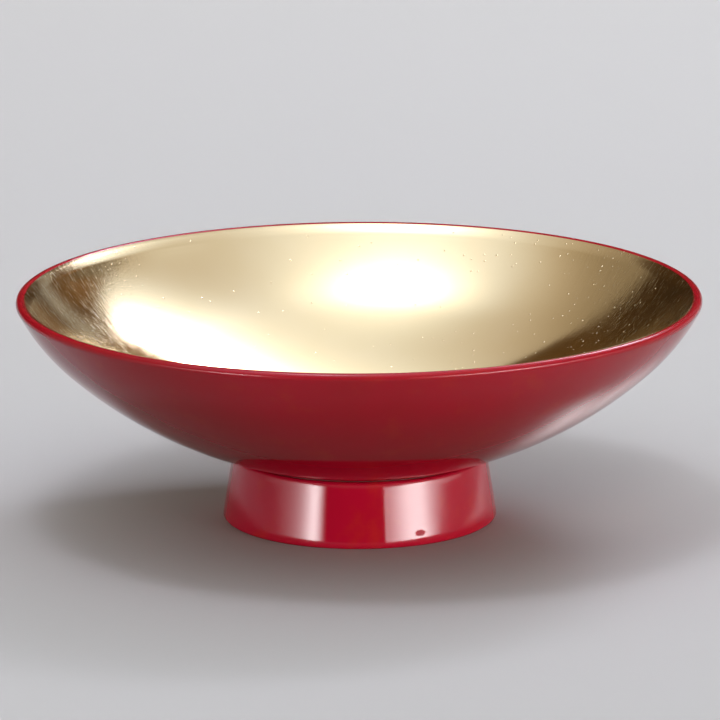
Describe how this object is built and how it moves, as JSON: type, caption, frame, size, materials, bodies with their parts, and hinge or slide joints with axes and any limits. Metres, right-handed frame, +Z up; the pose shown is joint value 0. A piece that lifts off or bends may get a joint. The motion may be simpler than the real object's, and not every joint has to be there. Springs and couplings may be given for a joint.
{
  "type": "sake cup",
  "caption": "Wide shallow lacquered sake cup with a flared foot ring, red outside and gilded inside, built as a glued wooden bowl and foot under coats of lacquer.",
  "frame": {"origin": "centre of the foot's base, on the surface that the cup stands on", "axes": "+Z up along the cup's axis of revolution; X and Y are any two level directions"},
  "size_m": [0.105, 0.105, 0.0349],
  "materials": {
    "turned_wood": "matte",
    "hemp_cloth": "matte",
    "clay_ground": "matte",
    "black_lacquer": "satin",
    "red_lacquer": "gloss",
    "size_lacquer": "satin",
    "gold_leaf": "polished",
    "lacquer_glue": "matte"
  },
  "bodies": {
    "root": {"bowl_core": "turned_wood", "rim_cloth": "hemp_cloth", "bowl_ground_coat": "clay_ground", "bowl_middle_coat": "black_lacquer", "bowl_lacquer": "red_lacquer", "gold_size": "size_lacquer", "gold_leaf_lining": "gold_leaf", "recess_ground_coat": "clay_ground", "recess_middle_coat": "black_lacquer", "recess_lacquer": "red_lacquer", "foot_core": "turned_wood", "foot_cloth": "hemp_cloth", "foot_ground_coat": "clay_ground", "foot_middle_coat": "black_lacquer", "foot_lacquer": "red_lacquer", "foot_glue": "lacquer_glue"}
  },
  "joints": []
}
